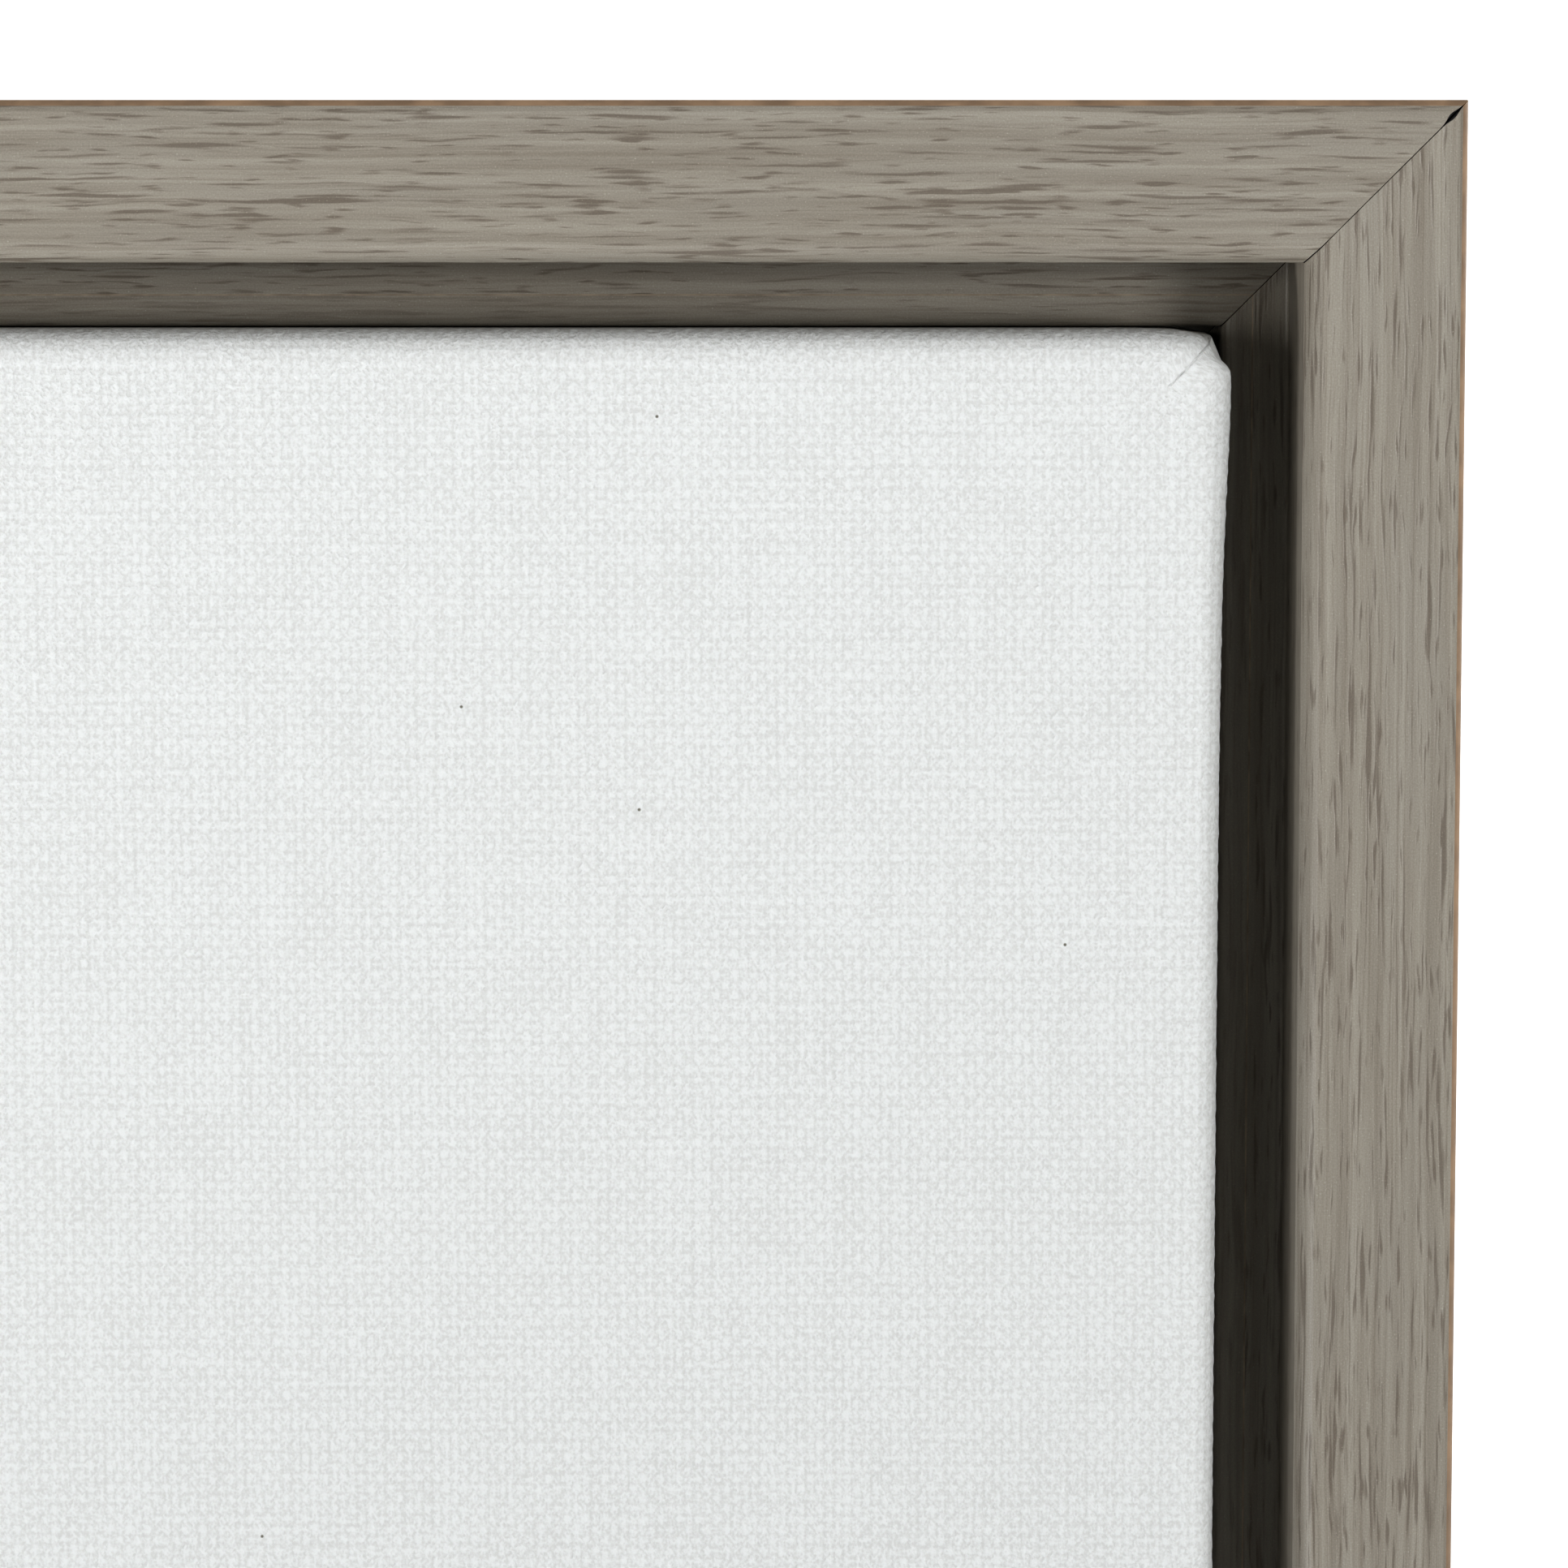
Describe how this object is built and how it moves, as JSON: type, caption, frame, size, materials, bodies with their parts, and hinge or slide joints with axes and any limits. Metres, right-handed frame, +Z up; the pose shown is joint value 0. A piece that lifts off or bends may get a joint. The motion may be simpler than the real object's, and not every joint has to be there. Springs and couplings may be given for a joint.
{
  "type": "floater frame",
  "caption": "Stepped, mitred floater frame with a stretched canvas standing free inside it, screwed on from behind, with swinging ring hangers at the back.",
  "frame": {"origin": "middle of the underside, at the centre of the whole depth with the hangers", "axes": "+X to the viewer's right, +Y from the front to the back, +Z up; the front faces -Y"},
  "size_m": [0.3174, 0.0353, 0.3937],
  "materials": {
    "foil_wood": "satin printed wood-grain wrap on a wood core",
    "nail_steel": "bright steel",
    "pine": "raw planed pine",
    "plywood": "raw thin plywood",
    "primed_canvas": "matt white primer over cotton duck",
    "staple_steel": "galvanised",
    "zinc_screw": "bright zinc plate",
    "nickel_plate": "nickel plate",
    "ring_wire": "nickel-plated wire",
    "bumper_rubber": "soft black rubber"
  },
  "bodies": {
    "frame": {"rail_top": "foil_wood", "rail_right": "foil_wood", "rail_bottom": "foil_wood", "rail_left": "foil_wood", "v_nails_top_left": "nail_steel", "v_nails_top_right": "nail_steel", "v_nails_bottom_left": "nail_steel", "v_nails_bottom_right": "nail_steel", "stretcher_top": "pine", "stretcher_right": "pine", "stretcher_bottom": "pine", "stretcher_left": "pine", "keys_top_left": "plywood", "keys_top_right": "plywood", "keys_bottom_left": "plywood", "keys_bottom_right": "plywood", "canvas_sheet": "primed_canvas", "staples_top": "staple_steel", "staples_right": "staple_steel", "staples_bottom": "staple_steel", "staples_left": "staple_steel", "canvas_screws_top": "zinc_screw", "canvas_screws_right": "zinc_screw", "canvas_screws_bottom": "zinc_screw", "canvas_screws_left": "zinc_screw", "hanger_strap_left": "nickel_plate", "hanger_strap_right": "nickel_plate", "hanger_screws_left": "zinc_screw", "hanger_screws_right": "zinc_screw", "bumper_left": "bumper_rubber", "bumper_right": "bumper_rubber"},
    "left_ring": {"d_ring_left": "ring_wire"},
    "right_ring": {"d_ring_right": "ring_wire"}
  },
  "joints": [
    {"name": "ring_swing_left", "type": "hinge", "parent": "frame", "child": "left_ring", "pos_m": [-0.14375, 0.01555, 0.28346], "axis": [1, 0, 0], "range_deg": [0, 180]},
    {"name": "ring_swing_right", "type": "hinge", "parent": "frame", "child": "right_ring", "pos_m": [0.14375, 0.01555, 0.28346], "axis": [1, 0, 0], "range_deg": [0, 180]}
  ]
}
